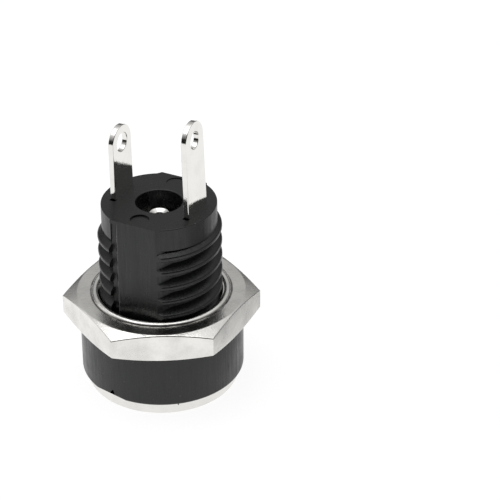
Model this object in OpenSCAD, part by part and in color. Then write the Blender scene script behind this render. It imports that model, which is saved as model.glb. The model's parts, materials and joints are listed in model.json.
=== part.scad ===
// DC barrel jack for a panel: a threaded moulding with a plated face ring, a hexagon nut,
// a riveted centre pin and two solder lugs.
// The plug face is the plane z = 0, and the jack's axis is the Z axis.
// The solder lugs point up, and their broad faces look along X.

/* [Head] */
// Diameter of the moulded head
head_d = 10.6; // [10:0.1:10.9]
// Height from the plug face to the shoulder under the nut
shoulder_z = 4.55; // [4.2:0.05:5]
// Rounding of the head's edges
head_edge = 0.2; // [0.05:0.05:0.3]

/* [Thread] */
// Diameter over the thread's crests
thread_d = 7.94; // [7.8:0.02:8]
// Distance from one turn to the next
thread_pitch = 1.058; // [1:0.002:1.1]
// Diameter at the bottom of the thread's grooves
root_d = 6.8; // [6.7:0.02:6.8]
// Width of a turn at its crest
crest_w = 0.24; // [0.1:0.02:0.3]
// Angle of a turn's flanks from the shank's surface
flank_a = 60; // [58:1:65]
// Distance across the two flats along the shank
flats_d = 6.86; // [6.84:0.02:7]
// Diameter of the plain collar behind the thread
collar_d = 7.36; // [7.2:0.02:7.5]
// Length of the plain collar
collar_l = 1.55; // [1.2:0.05:2]
// Height from the plug face to the rear face
rear_z = 13; // [12.8:0.1:13.5]

/* [Face ring] */
// Diameter of the plated face ring
ring_d = 9.9; // [9.4:0.1:10.2]
// How far the face ring stands proud of the head
ring_t = 0.95; // [0.7:0.05:1.2]
// Rounding of the ring's outer edge
ring_edge = 0.35; // [0.1:0.05:0.5]
// Diameter of the opening in the plug face
mouth_d = 6.1; // [5.9:0.05:6.4]
// Diameter of the socket behind the lead-in
socket_d = 5.7; // [5.6:0.02:5.8]
// Depth of the lead-in taper
lead_in = 0.9; // [0.3:0.1:1.2]
// Outer diameter of the ring's spigot in the moulding
spigot_d = 6.7; // [6.5:0.05:6.8]
// Depth of the spigot's end below the plug face
spigot_z = 2.9; // [2.4:0.1:3]

/* [Nut] */
// Distance across the nut's flats
nut_af = 11.11; // [10.8:0.01:11.4]
// Thickness of the nut
nut_t = 1.95; // [1.6:0.05:2.4]
// Diameter of the nut's bore, which clears the crests
nut_bore_d = 8.1; // [8.06:0.01:8.14]
// Diameter of the small chamfers at the bore's ends
nut_sink_d = 8.4; // [8.2:0.05:8.8]
// Height of each chamfer
nut_sink_h = 0.12; // [0.08:0.02:0.3]
// Slope of the chamfer on the nut's corners
nut_chamfer_a = 19; // [15:1:32]
// Turn of the nut about the jack's axis
nut_turn = 29; // [0:1:59]

/* [Centre pin] */
// Diameter of the centre pin
pin_d = 2; // [1.9:0.05:2.1]
// Depth of the pin's tip below the plug face
pin_tip_z = 3.1; // [3:0.1:3.6]
// Diameter of the pin's foot, which stands on the socket's end wall
pin_foot_d = 3.2; // [2.8:0.1:3.6]
// Diameter of the pin's riveted head
rivet_d = 1.6; // [1.4:0.05:1.8]

/* [Solder lugs] */
// Thickness of both contact strips
strip_t = 0.36; // [0.3:0.01:0.36]
// Distance from the axis to the middle of each lug
lug_x = 2.6; // [2.55:0.01:2.65]
// Width of the lug that belongs to the centre pin
pin_lug_w = 2.3; // [2:0.1:2.4]
// Width of the lug that belongs to the sleeve contact
sleeve_lug_w = 2.45; // [2:0.05:2.5]
// Height of the centre pin's lug above the rear face
pin_lug_h = 4.71; // [4.4:0.01:5.2]
// Height of the sleeve contact's lug above the rear face
sleeve_lug_h = 6.17; // [5.8:0.01:6.6]
// Diameter of the holes for the wires, which are centred in the lugs' round ends
lug_hole_d = 1.3; // [1:0.05:1.4]

/* [Sleeve contact] */
// Angle that the spring leaf wraps round the socket
leaf_a = 44; // [30:1:50]
// Height of the leaf's free tip above the plug face
leaf_tip_z = 4.2; // [4:0.1:4.6]
// Height of the point where the leaf touches the plug
leaf_touch_z = 5.8; // [5.4:0.1:6.2]
// Clear radius from the axis to the leaf's contact point
leaf_touch_r = 2.45; // [2.4:0.01:2.6]

/* [Rear face] */
// Diameter of the well over the rivet
well_d = 2.95; // [2.7:0.05:3.1]
// Diameter of the two ejector marks
ejector_d = 1.25; // [1:0.05:1.3]
// Depth of the ejector marks
ejector_depth = 0.12; // [0.05:0.01:0.2]
// Distance from the axis to the middle of each ejector mark
ejector_y = 2.55; // [2.4:0.05:2.6]

/* [Hidden] */

$fn = 96;
eps = 0.01;                                          // overshoot of a cut past a face

black = [0.17, 0.17, 0.18];
nickel = [0.85, 0.84, 0.81];

head_r = head_d / 2;
crest_r = thread_d / 2;
root_r = root_d / 2;
collar_r = collar_d / 2;
collar_z = rear_z - collar_l;
shank_z = shoulder_z - 0.5;                          // the shank starts inside the head
flat_y = flats_d / 2;
land_x = sqrt(collar_r * collar_r - flat_y * flat_y);  // half width of a flat
channel_x = 1.5;                                     // a slot runs up one side of each flat
channel_w = 0.34;
channel_depth = 0.36;
channel_end = 0.3;                                   // the slot stops this far from the rear face

// Each turn is an arc on either side of the shank, tilted to follow the helix.
turn_r = root_r - 0.1;                               // a turn's flanks start inside the core
turn_w = crest_w + 2 * (crest_r - turn_r) / tan(flank_a);
turn_lap_a = 4;                                      // its ends lap onto the flats a little
turn_a = 180 - 2 * asin(land_x / collar_r) + turn_lap_a;
turn_tilt = atan(thread_pitch * 50 / 360 / (crest_r * sin(50)));
turn_top_z = collar_z - 0.38;                        // middle of the rearmost arc on the +X side
turn_count = floor((turn_top_z - shoulder_z - 0.5) / thread_pitch);

socket_r = socket_d / 2;
socket_end_z = 10.8;                                 // end wall of the socket
step_r = socket_r + 0.12;                            // wider front stretch of the socket
step_z = 4.4;
groove_r = 3.13;                                     // floor of the groove behind the leaf

nut_r = nut_af / 2 / cos(30);                        // from the axis to a corner
nut_chamfer_r = nut_af / 2 - 0.12;
nut_chamfer_h = (nut_r - nut_chamfer_r) * tan(nut_chamfer_a);

arm_z = 11.25;                                       // underside of the pin terminal's arm
arm_top = arm_z + strip_t;
arm_w = 1.8;
eye_r = 1.3;                                         // eye that the rivet holds
tail_r = 0.5;                                        // tail of the pin
bend_r = 0.25;                                       // inner radius of the arm's bend

leaf_r = groove_r - 0.02 - strip_t / 2;              // middle of the leaf where it is straight
leaf_bow = leaf_r - strip_t / 2 - leaf_touch_r;
leaf_run = 2.4;                                      // height over which the bow dies out
leaf_bend_a = 2 * atan(leaf_bow / leaf_run);
leaf_bend_r = leaf_run / 2 / sin(leaf_bend_a);
leaf_top_z = 10.6;
leaf_w = 2 * leaf_r * sin(leaf_a / 2);
groove_side_a = 2;                                   // clearance at each side of the leaf
groove_bite = 0.3;                                   // the groove's cut starts inside the socket
groove_z = leaf_top_z - 0.2;                         // rear end of the groove
joggle_z = 11.25;                                    // the lug is straight above this height

// Disc that stands on z = 0 with both of its edges rounded.
module rounded_disc(r, h, edge) {
    rotate_extrude() {
        square([r - edge, h]);
        translate([0, edge]) square([r, h - 2 * edge]);
        for (z = [edge, h - edge])
            translate([r - edge, z]) circle(edge, $fn = 32);
    }
}

// One turn of thread round the +X side, with its middle at z = 0.
module thread_arc() {
    rotate([turn_tilt, 0, 0]) rotate([0, 0, -turn_a / 2]) rotate_extrude(angle = turn_a)
        polygon([
            [turn_r, -turn_w / 2],
            [crest_r, -crest_w / 2],
            [crest_r, crest_w / 2],
            [turn_r, turn_w / 2]
        ]);
}

// Both runs of turns, half a pitch apart.
module thread() {
    for (side = [0, 1])
        for (i = [0:turn_count - 1])
            rotate([0, 0, 180 * side])
                translate([0, 0, turn_top_z - (i + side / 2) * thread_pitch])
                    thread_arc();
}

// Threaded shank: round core, two flat lands that interrupt the thread, and the plain collar.
module shank() {
    translate([0, 0, shank_z]) cylinder(r = root_r, h = rear_z - shank_z);
    for (side = [0, 1])
        rotate([0, 0, 180 * side]) translate([-channel_x, -flat_y, shank_z])
            cube([channel_x + land_x, flat_y, rear_z - shank_z]);
    intersection() {
        union() {
            translate([0, 0, collar_z]) cylinder(r = collar_r, h = collar_l);
            thread();
        }
        translate([-head_r, -flat_y, shank_z]) cube([2 * head_r, 2 * flat_y, rear_z - shank_z]);
    }
}

// Slots that the mould leaves beside the flats, one on each side of the shank.
module channels() {
    for (side = [0, 1])
        rotate([0, 0, 180 * side])
            translate([-channel_x - channel_w, -flat_y - 1, shank_z])
                cube([channel_w, 1 + channel_depth, rear_z - channel_end - shank_z]);
}

// All that is open to the front: seat of the spigot, socket, and groove behind the leaf.
module socket_cavity() {
    translate([0, 0, ring_t - 1]) cylinder(d = spigot_d, h = spigot_z - ring_t + 1);
    translate([0, 0, spigot_z - eps]) cylinder(r = step_r, h = step_z - spigot_z + eps);
    translate([0, 0, step_z - eps]) cylinder(r = socket_r, h = socket_end_z - step_z + eps);
    groove_a = leaf_a + 2 * groove_side_a;
    rotate([0, 0, -groove_a / 2]) rotate_extrude(angle = groove_a)
        translate([socket_r - groove_bite, spigot_z - eps])
            square([groove_r - socket_r + groove_bite, groove_z - spigot_z + eps]);
}

// All that is open to the rear: well over the rivet, notches at the lugs, ejector marks.
module rear_openings() {
    notch = 0.3;                                     // notches in front of the lugs' edges
    notch_depth = 0.5;
    translate([0, 0, arm_z + strip_t / 2]) cylinder(d = well_d, h = rear_z);
    translate([0, 0, socket_end_z - eps]) cylinder(r = tail_r, h = arm_top - socket_end_z + eps);
    for (lug = [[-lug_x, pin_lug_w], [lug_x, sleeve_lug_w]])
        translate([lug.x - strip_t / 2, -lug.y / 2 - notch, rear_z - notch_depth])
            cube([strip_t, 2 * notch, 1]);
    for (side = [-1, 1])
        translate([0, side * ejector_y, rear_z - ejector_depth]) cylinder(d = ejector_d, h = 1);
}

// Black moulding. It is moulded round the two contact strips, so their shape is left out of it.
module housing() {
    color(black) difference() {
        union() {
            translate([0, 0, ring_t]) rounded_disc(head_r, shoulder_z - ring_t, head_edge);
            shank();
        }
        channels();
        socket_cavity();
        rear_openings();
        pin_terminal_shape();
        sleeve_contact_shape();
    }
}

// Plated face ring: turned flange with a tapered mouth, and a spigot pressed into the head.
module face_ring() {
    color(nickel) difference() {
        union() {
            rotate_extrude() {
                square([ring_d / 2 - ring_edge, ring_t]);
                translate([0, ring_edge]) square([ring_d / 2, ring_t - ring_edge]);
                translate([ring_d / 2 - ring_edge, ring_edge]) circle(ring_edge, $fn = 48);
            }
            cylinder(d = spigot_d, h = spigot_z);
        }
        translate([0, 0, -1]) cylinder(r = socket_r, h = spigot_z + 2);
        translate([0, 0, -eps]) cylinder(d1 = mouth_d, d2 = socket_d, h = lead_in + eps);
    }
}

// Hexagon nut with chamfered corners and a plain bore with a small chamfer at both ends.
module hex_nut() {
    color(nickel) translate([0, 0, shoulder_z]) difference() {
        intersection() {
            rotate([0, 0, nut_turn]) cylinder(r = nut_r, h = nut_t, $fn = 6);
            rotate_extrude()
                polygon([
                    [0, 0],
                    [nut_chamfer_r, 0],
                    [nut_r + eps, nut_chamfer_h],
                    [nut_r + eps, nut_t - nut_chamfer_h],
                    [nut_chamfer_r, nut_t],
                    [0, nut_t]
                ]);
        }
        translate([0, 0, -1]) cylinder(d = nut_bore_d, h = nut_t + 2);
        translate([0, 0, nut_t - nut_sink_h])
            cylinder(d1 = nut_bore_d, d2 = nut_sink_d, h = nut_sink_h + eps);
        translate([0, 0, -eps])
            cylinder(d1 = nut_sink_d, d2 = nut_bore_d, h = nut_sink_h + eps);
    }
}

// Low domed head that the pin's tail is upset into.
module rivet_head() {
    dome_h = 0.3;
    dome_r = (rivet_d * rivet_d / 4 + dome_h * dome_h) / (2 * dome_h);
    intersection() {
        translate([0, 0, dome_h - dome_r]) sphere(dome_r);
        cylinder(r = rivet_d, h = dome_h + eps);
    }
}

// Turned centre pin: round tip with a dimple, foot, tail, and the head that rivets it.
module centre_pin() {
    tip_r = pin_d / 2;
    tip_drop = 0.08;                                 // how much of the round tip is faced off
    foot_t = 0.5;
    dimple_r = 0.32;                                 // dimple in the tip
    dimple_drop = 0.15;                              // from the tip out to the dimple's centre
    color(nickel) difference() {
        union() {
            intersection() {
                translate([0, 0, pin_tip_z - tip_drop + tip_r]) sphere(tip_r);
                translate([0, 0, pin_tip_z]) cylinder(d = pin_d + 1, h = tip_r);
            }
            translate([0, 0, pin_tip_z - tip_drop + tip_r])
                cylinder(r = tip_r, h = socket_end_z - pin_tip_z + tip_drop - tip_r);
            translate([0, 0, socket_end_z - foot_t]) cylinder(d = pin_foot_d, h = foot_t);
            translate([0, 0, socket_end_z - eps])
                cylinder(r = tail_r, h = arm_top - socket_end_z + 2 * eps);
            translate([0, 0, arm_top]) rivet_head();
        }
        translate([0, 0, pin_tip_z - dimple_drop]) sphere(dimple_r, $fn = 48);
    }
}

// Stamped lug in the plane x = at_x, from z0 to its tip, with a round end and a wire hole.
module lug(at_x, w, z0, tip_z) {
    hole_z = tip_z - w / 2;
    translate([at_x - strip_t / 2, 0, 0]) rotate([90, 0, 90]) linear_extrude(strip_t)
        difference() {
            union() {
                translate([-w / 2, z0]) square([w, hole_z - z0]);
                translate([0, hole_z]) circle(w / 2);
            }
            translate([0, hole_z]) circle(d = lug_hole_d);
        }
}

// Strip under the rivet: an eye round the pin's tail, an arm, a square bend and the lug.
module pin_terminal_shape() {
    bend_x = -lug_x + strip_t / 2 + bend_r;
    bend_z = arm_top + bend_r;
    difference() {
        union() {
            translate([0, 0, arm_z]) cylinder(r = eye_r, h = strip_t);
            translate([bend_x, -arm_w / 2, arm_z]) cube([-bend_x, arm_w, strip_t]);
        }
        translate([0, 0, arm_z - 1]) cylinder(r = tail_r, h = strip_t + 2);
    }
    translate([bend_x, arm_w / 2, bend_z]) rotate([90, 0, 0]) linear_extrude(arm_w)
        intersection() {
            difference() {
                circle(bend_r + strip_t);
                circle(bend_r);
            }
            translate([-1, -1]) square(1);
        }
    lug(-lug_x, pin_lug_w, bend_z, rear_z + pin_lug_h);
}

// Half section of the spring leaf, radius against height: a straight stretch, then the bow.
module leaf_section() {
    blend_z = leaf_touch_z + leaf_run;
    translate([leaf_r - strip_t / 2, blend_z]) square([strip_t, leaf_top_z - blend_z]);
    intersection() {
        translate([leaf_r - leaf_bend_r, blend_z]) difference() {
            circle(leaf_bend_r + strip_t / 2);
            circle(leaf_bend_r - strip_t / 2);
        }
        translate([socket_r - 1, leaf_touch_z + leaf_run / 2]) square([2, leaf_run / 2]);
    }
    intersection() {
        translate([leaf_r - leaf_bow + leaf_bend_r, leaf_touch_z]) difference() {
            circle(leaf_bend_r + strip_t / 2);
            circle(leaf_bend_r - strip_t / 2);
        }
        translate([socket_r - 1, leaf_tip_z])
            square([1.5, leaf_touch_z + leaf_run / 2 - leaf_tip_z]);
    }
}

// One folded strip: solder lug, joggle inside the rear wall, and the leaf that grips the plug.
module sleeve_contact_shape() {
    lap = 0.1;                                       // the joggle laps the leaf's inner side
    lug(lug_x, sleeve_lug_w, joggle_z, rear_z + sleeve_lug_h);
    translate([0, leaf_w / 2, 0]) rotate([90, 0, 0]) linear_extrude(leaf_w)
        polygon([
            [lug_x - strip_t / 2, joggle_z],
            [lug_x + strip_t / 2, joggle_z],
            [leaf_r + strip_t / 2, leaf_top_z],
            [leaf_r - strip_t / 2 - lap, leaf_top_z]
        ]);
    rotate([0, 0, -leaf_a / 2]) rotate_extrude(angle = leaf_a) leaf_section();
}

// Terminal of the centre pin.
module pin_terminal() {
    color(nickel) pin_terminal_shape();
}

// Terminal and spring contact of the plug's sleeve.
module sleeve_contact() {
    color(nickel) sleeve_contact_shape();
}

housing();
face_ring();
hex_nut();
centre_pin();
pin_terminal();
sleeve_contact();
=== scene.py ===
"""Looks of a panel-mount DC barrel jack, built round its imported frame.

The jack stands on its plug face, with its axis along Z and its solder lugs upwards.
Sizes in the classes are millimetres; a finished piece is brought to metres.
"""

import contextlib
import json
import logging
import math
from dataclasses import dataclass, field
from enum import Enum
from typing import Callable, Iterator, Sequence

import bmesh
import bpy
from mathutils import Matrix, Vector

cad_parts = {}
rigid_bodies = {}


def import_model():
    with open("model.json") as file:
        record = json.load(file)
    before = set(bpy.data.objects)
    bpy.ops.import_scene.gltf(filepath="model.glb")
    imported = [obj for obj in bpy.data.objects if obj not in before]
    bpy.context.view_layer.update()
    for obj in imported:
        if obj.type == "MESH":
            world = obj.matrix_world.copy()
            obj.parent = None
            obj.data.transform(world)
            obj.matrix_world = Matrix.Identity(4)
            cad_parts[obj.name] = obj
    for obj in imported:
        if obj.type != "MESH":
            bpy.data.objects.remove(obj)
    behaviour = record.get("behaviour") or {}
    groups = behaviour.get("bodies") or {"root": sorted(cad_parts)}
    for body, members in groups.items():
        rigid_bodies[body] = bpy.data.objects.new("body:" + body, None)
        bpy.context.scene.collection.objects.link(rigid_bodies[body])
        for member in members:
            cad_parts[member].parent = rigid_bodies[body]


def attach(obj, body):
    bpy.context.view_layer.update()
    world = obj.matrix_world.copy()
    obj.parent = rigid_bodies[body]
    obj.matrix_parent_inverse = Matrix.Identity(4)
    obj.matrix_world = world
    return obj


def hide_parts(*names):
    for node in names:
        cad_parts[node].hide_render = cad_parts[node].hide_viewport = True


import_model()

LOG = logging.getLogger("barrel_jack")
MM = 0.001
MERGE = 1e-5
SLIVER = 2e-4


class Body(Enum):
    """Bodies of the frame that pieces ride on."""

    JACK = "jack"
    NUT = "nut"


class Slot(Enum):
    """Material slots of the record."""

    MOULDING = "moulding"
    RING = "ring_plating"
    NUT = "nut_plating"
    CONTACT = "contact_plating"


class Cut(Enum):
    """How a second shape acts on the first."""

    JOIN = "UNION"
    TAKE_AWAY = "DIFFERENCE"
    KEEP_COMMON = "INTERSECT"


# ---------------------------------------------------------------- bench work


def deselect_all() -> None:
    """Leaves nothing selected and no object active."""
    for obj in bpy.context.view_layer.objects:
        obj.select_set(False)
    bpy.context.view_layer.objects.active = None


def activate(obj: bpy.types.Object) -> None:
    """Makes one object the only selected and active one.

    Args:
        obj: The object to work on.
    """
    deselect_all()
    obj.select_set(True)
    bpy.context.view_layer.objects.active = obj


@contextlib.contextmanager
def editing(obj: bpy.types.Object, kind: str = "VERT") -> Iterator[None]:
    """Opens an object in edit mode with nothing selected, and closes it again.

    Args:
        obj: The mesh object.
        kind: VERT, EDGE or FACE, the element that is picked.
    """
    activate(obj)
    bpy.ops.object.mode_set(mode="EDIT")
    bpy.ops.mesh.select_mode(type=kind)
    bpy.ops.mesh.select_all(action="DESELECT")
    yield
    bpy.ops.object.mode_set(mode="OBJECT")


def pick_verts(obj: bpy.types.Object, test: Callable[[Vector], bool]) -> int:
    """Selects the vertices whose place passes a test, in edit mode.

    Args:
        obj: The object in edit mode.
        test: Takes a place and says whether it counts.

    Returns:
        How many vertices are selected.
    """
    mesh = bmesh.from_edit_mesh(obj.data)
    for vert in mesh.verts:
        vert.select = bool(test(vert.co))
    mesh.select_flush_mode()
    bmesh.update_edit_mesh(obj.data)
    return sum(v.select for v in mesh.verts)


def pick_edges(obj: bpy.types.Object, test: Callable[[bmesh.types.BMEdge], bool]) -> int:
    """Selects the edges that pass a test, in edit mode.

    Args:
        obj: The object in edit mode, with edges as its select mode.
        test: Takes an edge and says whether it counts.

    Returns:
        How many edges are selected.
    """
    mesh = bmesh.from_edit_mesh(obj.data)
    mesh.normal_update()
    for edge in mesh.edges:
        edge.select = bool(test(edge))
    bmesh.update_edit_mesh(obj.data)
    return sum(e.select for e in mesh.edges)


def apply_modifier(obj: bpy.types.Object, modifier: bpy.types.Modifier) -> None:
    """Applies one modifier of an object."""
    activate(obj)
    bpy.ops.object.modifier_apply(modifier=modifier.name)


def combine(obj: bpy.types.Object, tool: bpy.types.Object, how: Cut) -> None:
    """Joins, cuts or trims an object with another, which is then removed.

    Args:
        obj: The object that stays.
        tool: The object that acts on it.
        how: What the second does to the first.
    """
    modifier = obj.modifiers.new("Combine", "BOOLEAN")
    modifier.operation = how.value
    modifier.solver = "EXACT"
    modifier.object = tool
    apply_modifier(obj, modifier)
    bpy.data.objects.remove(tool)


def clean(obj: bpy.types.Object) -> None:
    """Merges doubled vertices, drops loose edges and turns all faces outwards."""
    with editing(obj):
        bpy.ops.mesh.select_all(action="SELECT")
        bpy.ops.mesh.remove_doubles(threshold=MERGE)
        bpy.ops.mesh.delete_loose()
        bpy.ops.mesh.select_all(action="SELECT")
        bpy.ops.mesh.normals_make_consistent(inside=False)


def arc_corner(before: Vector, corner: Vector, after: Vector, radius: float, steps: int) -> list[Vector]:
    """Points of a round that replaces one corner of an outline.

    Args:
        before: The corner before it.
        corner: The corner itself.
        after: The corner after it.
        radius: Radius of the round.
        steps: Number of chords in the round.

    Returns:
        The points from the first tangent point to the last.
    """
    to_before = (before - corner).normalized()
    to_after = (after - corner).normalized()
    half = to_before.angle(to_after) / 2
    run = min(radius / math.tan(half), (before - corner).length * 0.49, (after - corner).length * 0.49)
    radius = run * math.tan(half)
    centre = corner + (to_before + to_after).normalized() * (radius / math.sin(half))
    start = corner + to_before * run - centre
    end = corner + to_after * run - centre
    sweep = start.angle(end)
    turn = 1 if start.cross(end) > 0 else -1
    points = []
    for i in range(steps + 1):
        angle = turn * sweep * i / steps
        points.append(
            centre
            + Vector(
                (
                    start.x * math.cos(angle) - start.y * math.sin(angle),
                    start.x * math.sin(angle) + start.y * math.cos(angle),
                )
            )
        )
    return points


def outline(corners: Sequence[tuple], closed: bool = True, steps: int = 5) -> list[tuple[float, float]]:
    """Outline with rounded corners.

    Args:
        corners: Points as (across, up) or (across, up, radius of the round).
        closed: Whether the last corner joins the first.
        steps: Chords in each round.

    Returns:
        The outline's points in order.
    """
    count = len(corners)
    points: list[tuple[float, float]] = []
    for i, corner in enumerate(corners):
        here = Vector(corner[:2])
        inner = closed or 0 < i < count - 1
        if len(corner) < 3 or not corner[2] or not inner:
            points.append((here.x, here.y))
            continue
        before = Vector(corners[i - 1][:2])
        after = Vector(corners[(i + 1) % count][:2])
        points += [(p.x, p.y) for p in arc_corner(before, here, after, corner[2], steps)]
    return points


def chain(name: str, points: Sequence[tuple[float, float]], closed: bool = True) -> bpy.types.Object:
    """Draws an outline in the XZ plane, one extruded vertex after another.

    Args:
        name: Name of the new object.
        points: The outline's points as (x, z).
        closed: Whether an edge joins the last point to the first.

    Returns:
        The object, which holds edges only.
    """
    deselect_all()
    bpy.ops.mesh.primitive_plane_add(size=1)
    obj = bpy.context.active_object
    obj.name = obj.data.name = name
    with editing(obj):
        bpy.ops.mesh.select_all(action="SELECT")
        bpy.ops.mesh.merge(type="CENTER")
        bpy.ops.transform.translate(value=(points[0][0], 0, points[0][1]))
        for (x0, z0), (x1, z1) in zip(points, points[1:]):
            bpy.ops.mesh.extrude_vertices_move(
                TRANSFORM_OT_translate={"value": (x1 - x0, 0, z1 - z0)}
            )
        if closed:
            mesh = bmesh.from_edit_mesh(obj.data)
            mesh.verts.ensure_lookup_table()
            ends = [v for v in mesh.verts if len(v.link_edges) == 1]
            bpy.ops.mesh.select_all(action="DESELECT")
            for vert in ends:
                vert.select = True
            bmesh.update_edit_mesh(obj.data)
            bpy.ops.mesh.edge_face_add()
    return obj


def turned(name: str, points: Sequence[tuple[float, float]], steps: int = 128) -> bpy.types.Object:
    """Turns a closed outline of radius against height round the Z axis.

    Args:
        name: Name of the new object.
        points: The outline as (radius, height).
        steps: Number of facets round the axis.

    Returns:
        A closed, round mesh object.
    """
    obj = chain(name, points)
    with editing(obj):
        bpy.ops.mesh.select_all(action="SELECT")
        bpy.ops.mesh.spin(steps=steps, angle=2 * math.pi, center=(0, 0, 0), axis=(0, 0, 1))
    clean(obj)
    return obj


def block(name: str, low: Sequence[float], high: Sequence[float]) -> bpy.types.Object:
    """A box between two corners, to cut or join with.

    Args:
        name: Name of the new object.
        low: Lowest corner.
        high: Highest corner.

    Returns:
        The box, with its place in its mesh.
    """
    deselect_all()
    bpy.ops.mesh.primitive_cube_add(size=1)
    obj = bpy.context.active_object
    obj.name = obj.data.name = name
    size = [h - l for l, h in zip(low, high)]
    middle = [(h + l) / 2 for l, h in zip(low, high)]
    obj.data.transform(Matrix.Translation(middle) @ Matrix.Diagonal((*size, 1)))
    return obj


def prism(name: str, points: Sequence[tuple[float, float]], low: float, high: float) -> bpy.types.Object:
    """An upright bar with any outline, to cut or join with.

    Args:
        name: Name of the new object.
        points: The outline as (x, y).
        low: Height of its lower end.
        high: Height of its upper end.

    Returns:
        The bar, with its place in its mesh.
    """
    obj = chain(name, [(x, -y) for x, y in points])
    with editing(obj, "EDGE"):
        bpy.ops.mesh.select_all(action="SELECT")
        bpy.ops.mesh.edge_face_add()
        bpy.ops.mesh.extrude_region_move(TRANSFORM_OT_translate={"value": (0, high - low, 0)})
    clean(obj)
    obj.data.transform(Matrix.Translation((0, 0, low)) @ Matrix.Rotation(math.pi / 2, 4, "X"))
    return obj


def rod(
    name: str,
    radius: float,
    start: Sequence[float],
    end: Sequence[float],
    steps: int = 64,
    end_radius: float | None = None,
) -> bpy.types.Object:
    """A round or tapered bar between two points, to cut or join with.

    Args:
        name: Name of the new object.
        radius: Radius at the start.
        start: Middle of one end.
        end: Middle of the other end.
        steps: Facets round the bar.
        end_radius: Radius at the far end, if it differs.

    Returns:
        The bar, with its place in its mesh.
    """
    deselect_all()
    along = Vector(end) - Vector(start)
    bpy.ops.mesh.primitive_cone_add(
        vertices=steps,
        radius1=radius,
        radius2=radius if end_radius is None else end_radius,
        depth=along.length,
    )
    obj = bpy.context.active_object
    obj.name = obj.data.name = name
    turn = along.to_track_quat("Z", "Y").to_matrix().to_4x4()
    obj.data.transform(Matrix.Translation((Vector(start) + Vector(end)) / 2) @ turn)
    return obj


def helix(name: str, profile: Sequence[tuple[float, float]], pitch: float, turns: int) -> bpy.types.Object:
    """Sweeps a closed outline along a right-hand helix that starts on the +Y side.

    Args:
        name: Name of the new object.
        profile: The outline as (radius, height).
        pitch: Rise of each turn.
        turns: Number of whole turns.

    Returns:
        A closed helical bar.
    """
    obj = chain(name, profile)
    obj.data.transform(Matrix.Rotation(math.radians(90), 4, "Z"))
    screw = obj.modifiers.new("Helix", "SCREW")
    screw.axis = "Z"
    screw.angle = 2 * math.pi
    screw.screw_offset = pitch
    screw.iterations = turns
    screw.steps = screw.render_steps = 96
    apply_modifier(obj, screw)
    with editing(obj):
        bpy.ops.mesh.select_all(action="SELECT")
        bpy.ops.mesh.remove_doubles(threshold=MERGE)
        bpy.ops.mesh.fill_holes(sides=0)
    clean(obj)
    return obj


def bevel_edges(
    obj: bpy.types.Object,
    test: Callable[[bmesh.types.BMEdge], bool],
    width: float,
    segments: int = 2,
) -> None:
    """Rounds the edges that pass a test.

    Args:
        obj: The mesh object.
        test: Takes an edge and says whether it is rounded.
        width: Width of the round.
        segments: Faces across it.
    """
    with editing(obj, "EDGE"):
        count = pick_edges(obj, test)
        if count:
            bpy.ops.mesh.bevel(
                offset=width, segments=segments, profile=0.5, affect="EDGES", clamp_overlap=True
            )


def cut_plane(obj: bpy.types.Object, place: Sequence[float], outward: Sequence[float]) -> None:
    """Cuts a solid along a plane and closes it there.

    Args:
        obj: The solid.
        place: A point on the plane.
        outward: Direction of the side that is taken away.
    """
    with editing(obj):
        bpy.ops.mesh.select_all(action="SELECT")
        bpy.ops.mesh.bisect(
            plane_co=place, plane_no=outward, use_fill=True, clear_outer=True, threshold=1e-5
        )


def sharp_edge(edge: bmesh.types.BMEdge, degrees: float = 35) -> bool:
    """Whether two faces meet at an edge by more than an angle."""
    return len(edge.link_faces) == 2 and edge.calc_face_angle(0) > math.radians(degrees)


def upright(edge: bmesh.types.BMEdge) -> bool:
    """Whether an edge runs along Z."""
    low, high = (v.co for v in edge.verts)
    return abs(high.z - low.z) > 0.99 * (high - low).length


def level_flat_faces(obj: bpy.types.Object) -> None:
    """Gives each large flat face its own normal, so that rounds blend into it evenly."""
    weighted = obj.modifiers.new("Even", "WEIGHTED_NORMAL")
    weighted.keep_sharp = True
    weighted.weight = 100
    apply_modifier(obj, weighted)


def finish_piece(
    obj: bpy.types.Object,
    material: bpy.types.Material,
    body: Body,
    nodes: Sequence[str] = (),
    smooth: float = 32,
) -> bpy.types.Object:
    """Brings a piece to metres, shades it, dresses it and sets it on its body.

    Args:
        obj: The piece, in millimetres.
        material: Its finish.
        body: The body that carries it.
        nodes: CAD nodes that it stands for.
        smooth: Angle in degrees below which neighbouring faces shade as one.

    Returns:
        The same object.
    """
    clean(obj)
    with editing(obj):
        bpy.ops.mesh.select_all(action="SELECT")
        bpy.ops.mesh.remove_doubles(threshold=SLIVER)
        bpy.ops.mesh.dissolve_degenerate(threshold=SLIVER)
    activate(obj)
    bpy.ops.object.shade_smooth_by_angle(angle=math.radians(smooth))
    level_flat_faces(obj)
    obj.data.transform(Matrix.Scale(MM, 4))
    obj.data.materials.clear()
    obj.data.materials.append(material)
    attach(obj, body.value)
    if nodes:
        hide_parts(*nodes)
    LOG.info("%s: %d faces on body %s", obj.name, len(obj.data.polygons), body.value)
    return obj


# ---------------------------------------------------------------- finishes


def new_group(name: str, inputs: dict[str, float], outputs: Sequence[str]) -> bpy.types.NodeTree:
    """Starts a shader node group with named sockets.

    Args:
        name: Name of the group.
        inputs: Name and default of each number that goes in, after the place.
        outputs: Names of the values that come out.

    Returns:
        The group's node tree, with its input and output nodes.
    """
    tree = bpy.data.node_groups.new(name, "ShaderNodeTree")
    tree.interface.new_socket("Place", in_out="INPUT", socket_type="NodeSocketVector")
    for label, value in inputs.items():
        socket = tree.interface.new_socket(label, in_out="INPUT", socket_type="NodeSocketFloat")
        socket.default_value = value
    for label in outputs:
        tree.interface.new_socket(label, in_out="OUTPUT", socket_type="NodeSocketFloat")
    tree.nodes.new("NodeGroupInput").name = "In"
    tree.nodes.new("NodeGroupOutput").name = "Out"
    return tree


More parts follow.
